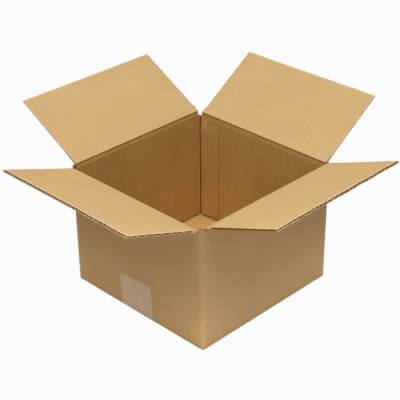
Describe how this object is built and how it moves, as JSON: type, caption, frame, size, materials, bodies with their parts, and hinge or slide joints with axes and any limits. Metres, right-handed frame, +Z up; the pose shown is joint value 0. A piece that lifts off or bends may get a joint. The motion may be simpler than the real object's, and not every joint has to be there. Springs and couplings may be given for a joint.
{
  "type": "cardboard box",
  "caption": "Square corrugated cardboard shipping box with hinged top flaps standing open, a glued corner joint and a taped bottom.",
  "frame": {"origin": "middle of the box's underside, on the surface it stands on", "axes": "+Z up out of the open top; X across the side flaps, whose pair lies outside when shut; Y along the tape"},
  "size_m": [0.3884, 0.3852, 0.2053],
  "materials": {
    "board_wall": "matte",
    "board_flap": "matte",
    "clear_film": "gloss"
  },
  "bodies": {
    "carton": {"carton_body": "board_wall", "sealing_tape": "clear_film"},
    "flap_front": {"top_flap_front": "board_flap"},
    "flap_right": {"top_flap_right": "board_flap"},
    "flap_back": {"top_flap_back": "board_flap"},
    "flap_left": {"top_flap_left": "board_flap"}
  },
  "joints": [
    {"name": "front_crease", "type": "hinge", "parent": "carton", "child": "flap_front", "pos_m": [0, -0.103, 0.1473], "axis": [-1, 0, 0], "range_deg": [-105.2, 159.8]},
    {"name": "right_crease", "type": "hinge", "parent": "carton", "child": "flap_right", "pos_m": [0.103, 0, 0.1506], "axis": [0, -1, 0], "range_deg": [-106.3, 158.7]},
    {"name": "back_crease", "type": "hinge", "parent": "carton", "child": "flap_back", "pos_m": [0, 0.103, 0.1473], "axis": [1, 0, 0], "range_deg": [-118.3, 146.7]},
    {"name": "left_crease", "type": "hinge", "parent": "carton", "child": "flap_left", "pos_m": [-0.103, 0, 0.1506], "axis": [0, 1, 0], "range_deg": [-114, 151]}
  ]
}
